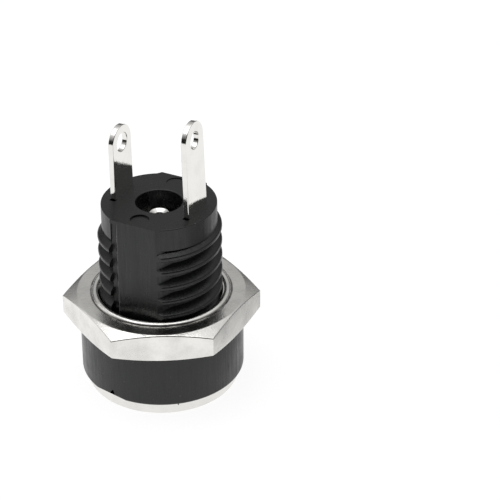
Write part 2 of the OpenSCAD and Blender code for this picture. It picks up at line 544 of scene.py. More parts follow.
def add_node(tree: bpy.types.NodeTree, kind: str, **values: object) -> bpy.types.Node:
    """Adds a node and sets its properties and named inputs.

    Args:
        tree: The tree that it goes into.
        kind: Its type without the ShaderNode prefix.
        **values: Properties, or inputs by name with _ for a space.

    Returns:
        The new node.
    """
    node = tree.nodes.new("ShaderNode" + kind)
    for key, value in values.items():
        if hasattr(node, key):
            setattr(node, key, value)
        else:
            node.inputs[key.replace("_", " ")].default_value = value
    return node


def math_node(
    tree: bpy.types.NodeTree, operation: str, first: object, second: object = None, clamp: bool = False
) -> bpy.types.NodeSocket:
    """Adds a Math node on sockets or numbers.

    Args:
        tree: The tree that it goes into.
        operation: The Math node's operation.
        first: A socket or a number.
        second: A socket or a number, if the operation takes two.
        clamp: Whether the result is held between 0 and 1.

    Returns:
        The node's output.
    """
    node = tree.nodes.new("ShaderNodeMath")
    node.operation = operation
    node.use_clamp = clamp
    for place, value in enumerate((first, second)):
        if isinstance(value, bpy.types.NodeSocket):
            tree.links.new(value, node.inputs[place])
        elif value is not None:
            node.inputs[place].default_value = value
    return node.outputs[0]


def spread(
    tree: bpy.types.NodeTree, value: bpy.types.NodeSocket, low: float, high: float, to_low: float, to_high: float
) -> bpy.types.NodeSocket:
    """Maps a value from one range to another, held at both ends.

    Args:
        tree: The tree that it goes into.
        value: The value to map.
        low: Value that becomes to_low.
        high: Value that becomes to_high.
        to_low: Result at the low end.
        to_high: Result at the high end.

    Returns:
        The mapped value.
    """
    node = tree.nodes.new("ShaderNodeMapRange")
    node.clamp = True
    tree.links.new(value, node.inputs["Value"])
    for label, number in (("From Min", low), ("From Max", high), ("To Min", to_low), ("To Max", to_high)):
        node.inputs[label].default_value = number
    return node.outputs["Result"]


def mottle_group() -> bpy.types.NodeTree:
    """Cloudy unevenness in two sizes: a broad haze and a fine grain.

    Returns:
        Group with Place, Broad and Fine in, and Haze, Grain out.
    """
    tree = new_group("Mottle", {"Broad": 1.0, "Fine": 10.0}, ("Haze", "Grain"))
    start, end = tree.nodes["In"], tree.nodes["Out"]
    for label, out, detail in (("Broad", "Haze", 3.0), ("Fine", "Grain", 4.0)):
        noise = add_node(tree, "TexNoise", Detail=detail, Roughness=0.6)
        tree.links.new(start.outputs["Place"], noise.inputs["Vector"])
        tree.links.new(start.outputs[label], noise.inputs["Scale"])
        tree.links.new(noise.outputs["Fac"], end.inputs[out])
    return tree


def speck_group() -> bpy.types.NodeTree:
    """Sparse small specks, such as dust or pinholes.

    Returns:
        Group with Place, Scale, Size and Share in, and Specks out.
    """
    tree = new_group("Specks", {"Scale": 3.0, "Size": 0.1, "Share": 0.2}, ("Specks",))
    start, end = tree.nodes["In"], tree.nodes["Out"]
    cells = add_node(tree, "TexVoronoi", feature="F1")
    tree.links.new(start.outputs["Place"], cells.inputs["Vector"])
    tree.links.new(start.outputs["Scale"], cells.inputs["Scale"])
    chosen = add_node(tree, "SeparateColor")
    tree.links.new(cells.outputs["Color"], chosen.inputs["Color"])
    kept = math_node(tree, "LESS_THAN", chosen.outputs["Red"], start.outputs["Share"])
    near = math_node(tree, "DIVIDE", cells.outputs["Distance"], start.outputs["Size"])
    dot = math_node(tree, "SUBTRACT", 1.0, near, clamp=True)
    tree.links.new(math_node(tree, "MULTIPLY", dot, kept), end.inputs["Specks"])
    return tree


def turning_group() -> bpy.types.NodeTree:
    """Fine rings that a lathe tool leaves round the Z axis.

    Returns:
        Group with Place and Pitch in, and Rings out.
    """
    tree = new_group("Turning marks", {"Pitch": 12.0}, ("Rings",))
    start, end = tree.nodes["In"], tree.nodes["Out"]
    split = add_node(tree, "SeparateXYZ")
    tree.links.new(start.outputs["Place"], split.inputs[0])
    square = math_node(
        tree,
        "ADD",
        math_node(tree, "MULTIPLY", split.outputs[0], split.outputs[0]),
        math_node(tree, "MULTIPLY", split.outputs[1], split.outputs[1]),
    )
    radius = math_node(tree, "SQRT", square)
    wobble = math_node(tree, "MULTIPLY", split.outputs[2], 1.7)
    line = math_node(
        tree, "MULTIPLY", math_node(tree, "ADD", radius, wobble), start.outputs["Pitch"]
    )
    noise = add_node(tree, "TexNoise", noise_dimensions="1D", Detail=3.0, Roughness=0.7, Scale=1.0)
    tree.links.new(line, noise.inputs["W"])
    tree.links.new(noise.outputs["Fac"], end.inputs["Rings"])
    return tree


def streak_group() -> bpy.types.NodeTree:
    """Fine upright drag lines that a part picks up as it leaves its mould.

    Returns:
        Group with Place and Scale in, and Streaks out.
    """
    tree = new_group("Streaks", {"Scale": 5.0}, ("Streaks",))
    start, end = tree.nodes["In"], tree.nodes["Out"]
    squeeze = add_node(tree, "VectorMath", operation="MULTIPLY")
    squeeze.inputs[1].default_value = (1, 1, 0.05)
    tree.links.new(start.outputs["Place"], squeeze.inputs[0])
    noise = add_node(tree, "TexNoise", Detail=3.0, Roughness=0.65)
    tree.links.new(squeeze.outputs[0], noise.inputs["Vector"])
    tree.links.new(start.outputs["Scale"], noise.inputs["Scale"])
    tree.links.new(noise.outputs["Fac"], end.inputs["Streaks"])
    return tree


def edge_highlight_group() -> bpy.types.NodeTree:
    """Painted highlight: a light line along one upright edge of the flats, and along the edge half a turn away from
    it.

    Returns:
        Group with Place, Across, Width, Low and High in, and Painted highlight out.
    """
    tree = new_group("Painted highlight", {"Across": 1.18, "Width": 0.05, "Low": 4.6, "High": 12.75}, ("Painted highlight",))
    start, end = tree.nodes["In"], tree.nodes["Out"]
    split = add_node(tree, "SeparateXYZ")
    tree.links.new(start.outputs["Place"], split.inputs[0])
    across = math_node(tree, "ABSOLUTE", split.outputs[0])
    offset = math_node(tree, "ABSOLUTE", math_node(tree, "SUBTRACT", across, start.outputs["Across"]))
    line = math_node(
        tree, "SUBTRACT", 1.5, math_node(tree, "DIVIDE", offset, start.outputs["Width"]), clamp=True
    )
    same_side = math_node(
        tree, "GREATER_THAN", math_node(tree, "MULTIPLY", split.outputs[0], split.outputs[1]), 0.0
    )
    outer = math_node(tree, "GREATER_THAN", math_node(tree, "ABSOLUTE", split.outputs[1]), 3.36)
    noise = add_node(tree, "TexNoise", Scale=1.6, Detail=3.0)
    tree.links.new(start.outputs["Place"], noise.inputs["Vector"])
    uneven = spread(tree, noise.outputs["Fac"], 0.3, 0.62, 0.25, 1.0)
    above = math_node(tree, "GREATER_THAN", split.outputs[2], start.outputs["Low"])
    below = math_node(tree, "LESS_THAN", split.outputs[2], start.outputs["High"])
    where = math_node(
        tree,
        "MULTIPLY",
        math_node(tree, "MULTIPLY", same_side, outer),
        math_node(tree, "MULTIPLY", above, below),
    )
    shown = math_node(tree, "MULTIPLY", math_node(tree, "MULTIPLY", line, uneven), where)
    tree.links.new(shown, end.inputs["Painted highlight"])
    return tree


def shade_ring_group() -> bpy.types.NodeTree:
    """Thin, uneven ring of painted shade round the Z axis, at one radius.

    Returns:
        Group with Place, Radius and Width in, and Painted shade out.
    """
    tree = new_group("Seam", {"Radius": 4.0, "Width": 0.05}, ("Painted shade",))
    start, end = tree.nodes["In"], tree.nodes["Out"]
    split = add_node(tree, "SeparateXYZ")
    tree.links.new(start.outputs["Place"], split.inputs[0])
    square = math_node(
        tree,
        "ADD",
        math_node(tree, "MULTIPLY", split.outputs[0], split.outputs[0]),
        math_node(tree, "MULTIPLY", split.outputs[1], split.outputs[1]),
    )
    offset = math_node(tree, "SUBTRACT", math_node(tree, "SQRT", square), start.outputs["Radius"])
    near = math_node(tree, "DIVIDE", math_node(tree, "ABSOLUTE", offset), start.outputs["Width"])
    line = math_node(tree, "SUBTRACT", 1.4, near, clamp=True)
    noise = add_node(tree, "TexNoise", Scale=1.1, Detail=2.0)
    tree.links.new(start.outputs["Place"], noise.inputs["Vector"])
    uneven = spread(tree, noise.outputs["Fac"], 0.35, 0.6, 0.45, 1.0)
    tree.links.new(math_node(tree, "MULTIPLY", line, uneven), end.inputs["Painted shade"])
    return tree


class Workshop:
    """Shader groups that the finishes share, each built once."""

    def __init__(self) -> None:
        """Builds the groups."""
        self.mottle = mottle_group()
        self.specks = speck_group()
        self.turning = turning_group()
        self.seam = shade_ring_group()
        self.streaks = streak_group()
        self.edge_highlight = edge_highlight_group()

    def place(self, tree: bpy.types.NodeTree) -> bpy.types.NodeSocket:
        """Object coordinates in millimetres.

        Args:
            tree: The material's node tree.

        Returns:
            The vector socket.
        """
        coordinates = add_node(tree, "TexCoord")
        mapping = add_node(tree, "Mapping")
        mapping.inputs["Scale"].default_value = (1 / MM, 1 / MM, 1 / MM)
        tree.links.new(coordinates.outputs["Object"], mapping.inputs["Vector"])
        return mapping.outputs["Vector"]

    def use(
        self, tree: bpy.types.NodeTree, group: bpy.types.NodeTree, place: bpy.types.NodeSocket, **values: float
    ) -> bpy.types.Node:
        """Places a shared group in a material with its own values.

        Args:
            tree: The material's node tree.
            group: The shared group.
            place: Coordinates in millimetres.
            **values: Numbers for the group's inputs.

        Returns:
            The group node.
        """
        node = tree.nodes.new("ShaderNodeGroup")
        node.node_tree = group
        tree.links.new(place, node.inputs["Place"])
        for label, value in values.items():
            node.inputs[label].default_value = value
        return node


def start_material(name: str) -> tuple[bpy.types.Material, bpy.types.NodeTree, bpy.types.Node]:
    """Starts a node material with a Principled shader.

    Args:
        name: Name of the material.

    Returns:
        The material, its tree and the shader.
    """
    material = bpy.data.materials.new(name)
    material.use_nodes = True
    tree = material.node_tree
    return material, tree, tree.nodes["Principled BSDF"]


def mix_colours(
    tree: bpy.types.NodeTree, factor: bpy.types.NodeSocket, first: Sequence[float], second: Sequence[float]
) -> bpy.types.NodeSocket:
    """Mixes two fixed colours by a mask.

    Args:
        tree: The material's node tree.
        factor: Mask from 0 to 1.
        first: Colour at 0.
        second: Colour at 1.

    Returns:
        The mixed colour.
    """
    node = tree.nodes.new("ShaderNodeMix")
    node.data_type = "RGBA"
    tree.links.new(factor, node.inputs["Factor"])
    node.inputs[6].default_value = (*first, 1)
    node.inputs[7].default_value = (*second, 1)
    return node.outputs[2]


def cover(
    tree: bpy.types.NodeTree, mask: bpy.types.NodeSocket, under: bpy.types.NodeSocket, colour: Sequence[float]
) -> bpy.types.NodeSocket:
    """Lays a fixed colour over another by a mask.

    Args:
        tree: The material's node tree.
        mask: Mask from 0 to 1.
        under: The colour that shows where the mask is 0.
        colour: The colour that covers it.

    Returns:
        The mixed colour.
    """
    node = tree.nodes.new("ShaderNodeMix")
    node.data_type = "RGBA"
    tree.links.new(mask, node.inputs["Factor"])
    tree.links.new(under, node.inputs[6])
    node.inputs[7].default_value = (*colour, 1)
    return node.outputs[2]


def add_bump(
    tree: bpy.types.NodeTree, shader: bpy.types.Node, height: bpy.types.NodeSocket, depth: float, strength: float = 1.0
) -> None:
    """Feeds a height into the shader's normal.

    Args:
        tree: The material's node tree.
        shader: The Principled shader.
        height: Height from 0 to 1.
        depth: Depth in millimetres of the full height.
        strength: Strength of the effect.
    """
    bump = add_node(tree, "Bump", Strength=strength, Distance=depth * MM)
    tree.links.new(height, bump.inputs["Height"])
    tree.links.new(bump.outputs["Normal"], shader.inputs["Normal"])


@dataclass(frozen=True)
class BlackMoulding:
    """Glass-filled black plastic with a satin skin, a little dust and a painted highlight line along the edges of the
    flats.
    """

    dark: tuple[float, float, float] = (0.0026, 0.0028, 0.0031)
    light: tuple[float, float, float] = (0.0052, 0.0054, 0.0058)
    dust: tuple[float, float, float] = (0.16, 0.155, 0.15)
    highlight_tone: tuple[float, float, float] = (0.11, 0.11, 0.108)
    roughness: tuple[float, float] = (0.22, 0.48)

    def build(self, shop: Workshop) -> bpy.types.Material:
        """Builds the material.

        Args:
            shop: The shared groups.

        Returns:
            The material.
        """
        material, tree, shader = start_material("black_moulding")
        place = shop.place(tree)
        mottle = shop.use(tree, shop.mottle, place, Broad=0.7, Fine=9.0)
        dust = shop.use(tree, shop.specks, place, Scale=1.8, Size=0.08, Share=0.4)
        streaks = shop.use(tree, shop.streaks, place, Scale=6.0)
        edge_highlight = shop.use(tree, shop.edge_highlight, place)
        tone = mix_colours(tree, mottle.outputs["Haze"], self.dark, self.light)
        tone = cover(tree, dust.outputs["Specks"], tone, self.dust)
        # Painted highlight: a light line along the edges of the flats.
        tone = cover(tree, edge_highlight.outputs["Painted highlight"], tone, self.highlight_tone)
        tree.links.new(tone, shader.inputs["Base Color"])
        level = math_node(
            tree,
            "ADD",
            math_node(tree, "MULTIPLY", mottle.outputs["Haze"], 0.4),
            math_node(tree, "MULTIPLY", streaks.outputs["Streaks"], 0.6),
        )
        rough = spread(tree, level, 0.36, 0.64, *self.roughness)
        tree.links.new(rough, shader.inputs["Roughness"])
        shader.inputs["IOR"].default_value = 1.5
        height = math_node(
            tree,
            "ADD",
            math_node(tree, "MULTIPLY", mottle.outputs["Grain"], 0.4),
            math_node(tree, "MULTIPLY", streaks.outputs["Streaks"], 0.6),
        )
        add_bump(tree, shader, height, 0.016)
        return material


@dataclass(frozen=True)
class NickelPlate:
    """Nickel plating over brass or steel, with a faint haze, fine pitting and, where a radius is given, a thin ring of
    painted shade.
    """

    name: str = "nickel_plate"
    bright: tuple[float, float, float] = (0.81, 0.8, 0.77)
    dull: tuple[float, float, float] = (0.73, 0.72, 0.695)
    roughness: tuple[float, float] = (0.10, 0.2)
    haze: float = 0.8
    grain: float = 7.0
    grain_depth: float = 0.004
    rings: float = 0.0
    ring_depth: float = 0.0
    # Radius and width of an optional ring of painted shade, and its dark colour; a radius of 0 leaves it out.
    shade_ring_r: float = 0.0
    shade_ring_w: float = 0.05
    shade_tone: tuple[float, float, float] = (0.06, 0.055, 0.05)

    def build(self, shop: Workshop) -> bpy.types.Material:
        """Builds the material.

        Args:
            shop: The shared groups.

        Returns:
            The material.
        """
        material, tree, shader = start_material(self.name)
        place = shop.place(tree)
        mottle = shop.use(tree, shop.mottle, place, Broad=self.haze, Fine=self.grain)
        pits = shop.use(tree, shop.specks, place, Scale=2.3, Size=0.07, Share=0.3)
        worn = math_node(
            tree,
            "ADD",
            spread(tree, mottle.outputs["Haze"], 0.4, 0.75, 0.0, 0.8),
            pits.outputs["Specks"],
            clamp=True,
        )
        colour = mix_colours(tree, worn, self.bright, self.dull)
        # Painted shade: a thin dark ring where the nut's bead meets its upper face.
        if self.shade_ring_r:
            seam = shop.use(tree, shop.seam, place, Radius=self.shade_ring_r, Width=self.shade_ring_w)
            colour = cover(tree, seam.outputs["Painted shade"], colour, self.shade_tone)
        tree.links.new(colour, shader.inputs["Base Color"])
        shader.inputs["Metallic"].default_value = 1.0
        height = mottle.outputs["Grain"]
        level = mottle.outputs["Haze"]
        depth = self.grain_depth
        if self.rings:
            turning = shop.use(tree, shop.turning, place, Pitch=self.rings)
            share = self.grain_depth / (self.grain_depth + self.ring_depth)
            height = math_node(
                tree,
                "ADD",
                math_node(tree, "MULTIPLY", height, share),
                math_node(tree, "MULTIPLY", turning.outputs["Rings"], 1 - share),
            )
            depth = self.grain_depth + self.ring_depth
            level = math_node(
                tree, "MULTIPLY", math_node(tree, "ADD", level, turning.outputs["Rings"]), 0.5
            )
        rough = spread(tree, level, 0.3, 0.7, *self.roughness)
        tree.links.new(rough, shader.inputs["Roughness"])
        add_bump(tree, shader, height, depth)
        return material


# ---------------------------------------------------------------- moulding


@dataclass
class Housing:
    """Black moulding: head, threaded shank with two flats, socket and rear well."""

    head_r: float = 5.3
    head_z: tuple[float, float] = (0.95, 4.55)
    head_edge: float = 0.2
    worn_side: float = -102.0
    worn_depth: float = 0.13
    nick_side: float = -99.5
    nick: tuple[float, float, float] = (0.5, 0.4, 0.7)
    nick_foot: float = 0.22
    burr_side: float = -50.8
    burr_r: float = 0.07
    crest_r: float = 3.97
    root_r: float = 3.4
    ridge_r: float = 3.3
    pitch: float = 1.058
    crest_w: float = 0.24
    crest_round: float = 0.15
    flank: float = 60.0
    crest_z: float = 11.17
    turns: int = 8
    flat_y: float = 3.43
    land_x: tuple[float, float] = (-1.63, 2.33)
    land_top: float = 12.999
    ramp_x: float = 1.63
    ramp: float = 54.0
    flat_x: float = -1.65
    channel_x: tuple[float, float] = (-1.66, -1.3)
    channel_edge: float = 0.14
    channel_floor: float = 3.2
    channel_end: float = 12.76
    collar_r: float = 3.68
    collar_z: float = 11.45
    rear_z: float = 13.0
    rear_edge: float = 0.06
    seat_r: float = 3.35
    seat_z: float = 2.9
    step_r: float = 2.97
    step_z: float = 4.4
    socket_r: float = 2.85
    socket_z: float = 10.8
    tail_r: float = 0.54
    well_r: float = 1.475
    well_z: float = 11.43
    well_edge: float = 0.09
    shank_z: float = 4.0
    edge_round: float = 0.05
    ejectors: tuple[tuple[float, float, float], ...] = ((0.03, -2.55, 0.1), (-0.2, 2.62, 0.05))
    ejector_r: float = 0.6
    notch: float = 0.15
    notch_depth: float = 0.35

    def ridge(self) -> bpy.types.Object:
        """The thread's helical ridge, which ends inside the land at the back.

        Returns:
            A closed helical bar.
        """
        half_base = self.crest_w / 2 + (self.crest_r - self.ridge_r) / math.tan(math.radians(self.flank))
        start_z = self.crest_z + self.pitch / 4 - self.turns * self.pitch
        profile = outline(
            [
                (self.ridge_r, -half_base),
                (self.crest_r, -self.crest_w / 2, self.crest_round),
                (self.crest_r, self.crest_w / 2, self.crest_round),
                (self.ridge_r, half_base),
            ],
            steps=4,
        )
        return helix("ridge", [(r, start_z + z) for r, z in profile], self.pitch, self.turns)

    def shank(self) -> bpy.types.Object:
        """Core, collar, thread, lands and flats of the shank, still solid.

        Returns:
            The shank.
        """
        obj = turned(
            "shank",
            outline(
                [
                    (0.05, self.shank_z),
                    (self.root_r, self.shank_z),
                    (self.root_r, self.collar_z),
                    (self.collar_r, self.collar_z, 0.05),
                    (self.collar_r, self.rear_z, self.rear_edge),
                    (0.05, self.rear_z),
                ]
            ),
        )
        combine(obj, self.ridge(), Cut.JOIN)
        for side in (-1, 1):
            ends = sorted(-side * x for x in self.land_x)
            reach = sorted((0.5 * side, 3.9 * side))
            land = block(
                "land", (ends[0], reach[0], self.shank_z + 0.1), (ends[1], reach[1], self.land_top)
            )
            across, out = (f(math.radians(self.ramp)) for f in (math.sin, math.cos))
            cut_plane(land, (-side * self.ramp_x, side * self.flat_y, 0), (-side * across, side * out, 0))
            combine(obj, land, Cut.JOIN)
        for side in (-1, 1):
            across = sorted((-side * self.flat_x, side * -5))
            out = sorted((side * self.flat_y, side * 5))
            low, high = self.shank_z - 1, self.rear_z + 1
            combine(
                obj, block("flat", (across[0], out[0], low), (across[1], out[1], high)), Cut.TAKE_AWAY
            )
            combine(obj, self.channel(side), Cut.TAKE_AWAY)
        cut_plane(obj, (0, 0, self.shank_z + 0.05), (0, 0, -1))
        bevel_edges(obj, self.on_flat_rim, self.edge_round)
        return obj

    def channel(self, side: int) -> bpy.types.Object:
        """Shallow channel beside a land, with a chamfer on the land's edge.

        Args:
            side: 1 for the flat at +Y, -1 for the one at -Y.

        Returns:
            The cutter.
        """
        left, right = self.channel_x
        reach = 5.0
        foot = self.flat_y - self.channel_edge
        points = [
            (left, self.channel_floor),
            (right, self.channel_floor),
            (right, foot),
            (right + reach - foot, reach),
            (left, reach),
        ]
        turned_points = [(-side * x, side * y) for x, y in points]
        return prism("channel", turned_points, self.shank_z - 1, self.channel_end)

    def on_flat_rim(self, edge: bmesh.types.BMEdge) -> bool:
        """Whether an edge bounds one of the flats."""
        if not all(abs(abs(v.co.y) - self.flat_y) < 1e-4 for v in edge.verts):
            return False
        return sharp_edge(edge, 12)

    def head(self) -> bpy.types.Object:
        """The head that the panel rests against, with wear on its lower edge.

        Returns:
            A turned, solid disc with rounded edges, a rubbed stretch, a nick and a burr.
        """
        low, high = self.head_z
        obj = turned(
            "moulded_body",
            outline(
                [
                    (0.05, low),
                    (self.head_r, low, self.head_edge),
                    (self.head_r, high, self.head_edge),
                    (0.05, high),
                ]
            ),
            192,
        )
        way = Vector((math.cos(math.radians(self.worn_side)), math.sin(math.radians(self.worn_side)), 0))
        down = Vector((0, 0, -1))
        edge = way * self.head_r + Vector((0, 0, low))
        cut_plane(obj, edge - (way + down) * self.worn_depth, way + down)
        half, rise, deep = self.nick[0] / 2, self.nick[1], self.nick[2]
        foot = self.nick_foot
        shape = [(-half, foot), (half * 0.8, foot), (half * 0.3, foot + rise), (-half * 0.2, foot + rise * 0.7)]
        wedge = prism("nick", shape, 0, 2 * deep)
        turn = Matrix.Rotation(math.radians(self.nick_side), 4, "Z")
        lay = Matrix(((0, 0, 1, self.head_r - deep), (1, 0, 0, 0), (0, 1, 0, low), (0, 0, 0, 1)))
        wedge.data.transform(turn @ lay)
        combine(obj, wedge, Cut.TAKE_AWAY)
        side = Matrix.Rotation(math.radians(self.burr_side), 4, "Z")
        at = side @ Vector((self.head_r - 0.17, 0, low))
        tip, root = at - Vector((0, 0, 0.09)), at + Vector((0, 0, 0.3))
        burr = rod("burr", self.burr_r * 0.5, tip, root, 12, self.burr_r * 1.6)
        combine(obj, burr, Cut.JOIN)
        return obj

    def front_cavity(self) -> bpy.types.Object:
        """Seat of the ring's spigot and the socket behind it.

        Returns:
            The cutter.
        """
        return turned(
            "socket",
            [
                (0.0, 0.0),
                (self.seat_r, 0.0),
                (self.seat_r, self.seat_z),
                (self.step_r, self.seat_z),
                (self.step_r, self.step_z),
                (self.socket_r, self.step_z),
                (self.socket_r, self.socket_z),
                (self.tail_r, self.socket_z),
                (self.tail_r, self.well_z + 0.1),
                (0.0, self.well_z + 0.1),
            ],
        )

    def rear_well(self) -> bpy.types.Object:
        """Well over the rivet, with a soft rim.

        Returns:
            The cutter.
        """
        rim = self.well_edge
        round_rim = [
            (
                self.well_r + rim - rim * math.cos(math.radians(a)),
                self.rear_z - rim + rim * math.sin(math.radians(a)),
            )
            for a in range(0, 91, 15)
        ]
        return turned(
            "well",
            [(0.0, self.well_z), (self.well_r, self.well_z)]
            + round_rim
            + [(self.well_r + rim + 0.02, self.rear_z + 0.5), (0.0, self.rear_z + 0.5)],
        )

    def rear_marks(self, lugs: Sequence["Lug"]) -> list[bpy.types.Object]:
        """Two ejector marks, and the notches that the mould leaves in front of the lugs.

        Args:
            lugs: The solder lugs.

        Returns:
            The cutters.
        """
        cutters = []
        for x, y, depth in self.ejectors:
            cutters.append(
                rod(
                    "ejector",
                    self.ejector_r,
                    (x, y, self.rear_z - depth),
                    (x, y, self.rear_z + 0.4),
                    48,
                    self.ejector_r + 0.05,
                )
            )
        for lug in lugs:
            front = -lug.width / 2
            half = lug.thick / 2 + 0.03
            cutters.append(
                block(
                    "notch",
                    (lug.at_x - half, front - self.notch, self.rear_z - self.notch_depth),
                    (lug.at_x + half, front + self.notch, self.rear_z + 0.4),
                )
            )
        return cutters

    def build(
        self, material: bpy.types.Material, strips: Sequence[bpy.types.Object], lugs: Sequence["Lug"]
    ) -> bpy.types.Object:
        """Builds the moulding.

        Args:
            material: Its finish.
            strips: Copies of the contact strips, which leave their shape in it.
            lugs: The strips' solder lugs.

        Returns:
            The finished piece.
        """
        obj = self.head()
        combine(obj, self.shank(), Cut.JOIN)
        combine(obj, self.front_cavity(), Cut.TAKE_AWAY)
        combine(obj, self.rear_well(), Cut.TAKE_AWAY)
        for cutter in self.rear_marks(lugs):
            combine(obj, cutter, Cut.TAKE_AWAY)
        for strip in strips:
            combine(obj, strip, Cut.TAKE_AWAY)
        return finish_piece(obj, material, Body.JACK, ["housing"], 30)


# ---------------------------------------------------------------- turned parts


@dataclass
class FaceRing:
    """Plated ring round the plug opening, with a spigot pressed into the head."""

    radius: float = 4.95
    thick: float = 0.95
    edge: float = 0.35
    spigot_r: float = 3.35
    spigot_z: float = 2.9
    socket_r: float = 2.85
    mouth_r: float = 3.05
    lead_in: float = 0.9

    def build(self, material: bpy.types.Material) -> bpy.types.Object:
        """Builds the ring.

        Args:
            material: Its finish.

        Returns:
            The finished piece.
        """
        obj = turned(
            "turned_ring",
            outline(
                [
                    (self.mouth_r, 0.0, 0.06),
                    (self.radius, 0.0, self.edge),
                    (self.radius, self.thick),
                    (self.spigot_r, self.thick),
                    (self.spigot_r, self.spigot_z),
                    (self.socket_r, self.spigot_z),
                    (self.socket_r, self.lead_in, 0.2),
                ],
                steps=8,
            ),
            192,
        )
        return finish_piece(obj, material, Body.JACK, ["face_ring"])


@dataclass
class CentrePin:
    """Turned pin with a round, dimpled tip, a foot, and a head upset over the terminal."""

    radius: float = 1.0
    tip_z: float = 3.1
    foot_r: float = 1.6
    foot_t: float = 0.5
    foot_z: float = 10.8
    tail_r: float = 0.5
    strip_top: float = 11.61
    rivet_r: float = 0.72
    rivet_h: float = 0.56
    rivet_dish: float = 0.13

    def build(self, material: bpy.types.Material) -> bpy.types.Object:
        """Builds the pin.

        Args:
            material: Its finish.

        Returns:
            The finished piece.
        """
        corner = 0.7
        head = self.strip_top + self.rivet_h
        obj = turned(
            "riveted_pin",
            outline(
                [
                    (0.0, self.tip_z + 0.17),
                    (0.17, self.tip_z + 0.13),
                    (0.32, self.tip_z, 0.03),
                    (self.radius, self.tip_z, corner),
                    (self.radius, self.foot_z - self.foot_t),
                    (self.foot_r, self.foot_z - self.foot_t, 0.06),
                    (self.foot_r, self.foot_z),
                    (self.tail_r, self.foot_z),
                    (self.tail_r, self.strip_top),
                    (self.rivet_r, self.strip_top),
                    (self.rivet_r, head - 0.1, 0.1),
                    (self.rivet_r * 0.88, head, 0.06),
                    (self.rivet_r * 0.8, head - 0.01, 0.1),
                    (self.rivet_r * 0.42, head - self.rivet_dish, 0.12),
                    (0.0, head - self.rivet_dish - 0.01),
                ],
                closed=False,
                steps=6,
            ),
            96,
        )
        return finish_piece(obj, material, Body.JACK, ["centre_pin"])


@dataclass
class HexNut:
    """Plated hexagon nut, chamfered on both faces, with a countersunk threaded bore."""

    across: float = 11.11
    low: float = 4.55
    thick: float = 1.95
    bore_r: float = 4.0
    chamfer: float = 19.0
    turn: float = 29.0
    edge: float = 0.13
    corner: float = 0.05
    lip_r: tuple[float, float] = (4.06, 4.54)
    lip_h: float = 0.19
    groove_r: float = 4.32
    pitch: float = 1.058
    groove_z: float = 0.4365

    def hexagon(self) -> bpy.types.Object:
        """The hexagon bar with both faces chamfered.

        Returns:
            The blank, without its bore.
        """
        corner_r = self.across / 2 / math.cos(math.radians(30))
        high = self.low + self.thick
        obj = rod("plated_nut", corner_r, (0, 0, self.low), (0, 0, high), 6)
        flat_angle = self.turn + 30
        first = max(obj.data.vertices, key=lambda v: v.co.x).co
        now = math.degrees(math.atan2(first.y, first.x))
        obj.data.transform(Matrix.Rotation(math.radians(flat_angle - 30 - now), 4, "Z"))
        face_r = self.across / 2 - 0.12
        drop = (corner_r + 0.5 - face_r) * math.tan(math.radians(self.chamfer))
        blank = turned(
            "chamfer",
            outline(
                [
                    (0.0, self.low),
                    (face_r, self.low, 0.3),
                    (corner_r + 0.5, self.low + drop),
                    (corner_r + 0.5, high - drop),
                    (face_r, high, 0.3),
                    (0.0, high),
                ]
            ),
            192,
        )
        combine(obj, blank, Cut.KEEP_COMMON)
        return obj

    def lip(self) -> bpy.types.Object:
        """Raised bead round the bore's upper end.

        Returns:
            A tube that stands proud of the upper face.
        """
        high = self.low + self.thick
        inner, outer = self.lip_r
        middle, half = (inner + outer) / 2, (outer - inner) / 2
        steps = 8
        bead = [
            (
                middle + half * math.cos(math.pi * i / steps),
                high - 0.02 + (self.lip_h + 0.02) * math.sin(math.pi * i / steps),
            )
            for i in range(steps + 1)
        ]
        base = [(self.bore_r - 0.2, high - 0.5), (outer, high - 0.5)]
        return turned("lip", [*base, *bead, (self.bore_r - 0.2, high - 0.05)], 160)

    def bore(self) -> bpy.types.Object:
        """The threaded bore.

        Returns:
            The cutter: a rod with the thread's groove standing out of it.
        """
        high = self.low + self.thick
        rim = 0.08
        obj = turned(
            "bore",
            [
                (0.05, self.low - 0.5),
                (self.bore_r + rim + 0.5, self.low - 0.5),
                (self.bore_r, self.low + rim),
                (self.bore_r, high - rim + self.lip_h),
                (self.bore_r + rim + 0.5, high + 0.5 + self.lip_h),
                (0.05, high + 0.5 + self.lip_h),
            ],
            160,
        )
        deep = self.groove_r - self.bore_r + 0.1
        half_base = 0.06 + deep / math.tan(math.radians(60))
        start_z = self.low + self.groove_z - 2 * self.pitch
        profile = [
            (self.bore_r - 0.1, start_z - half_base),
            (self.groove_r, start_z - 0.06),
            (self.groove_r, start_z + 0.06),
            (self.bore_r - 0.1, start_z + half_base),
        ]
        combine(obj, helix("groove", profile, self.pitch, 5), Cut.JOIN)
        return obj

    def build(self, material: bpy.types.Material) -> bpy.types.Object:
        """Builds the nut.

        Args:
            material: Its finish.

        Returns:
            The finished piece.
        """
        obj = self.hexagon()
        bevel_edges(obj, lambda e: sharp_edge(e, 14) and not upright(e), self.edge, 3)
        bevel_edges(obj, lambda e: sharp_edge(e, 40) and upright(e), self.corner, 2)
        combine(obj, self.lip(), Cut.JOIN)
        combine(obj, self.bore(), Cut.TAKE_AWAY)
        return finish_piece(obj, material, Body.NUT, ["hex_nut"])


# ---------------------------------------------------------------- contact strips


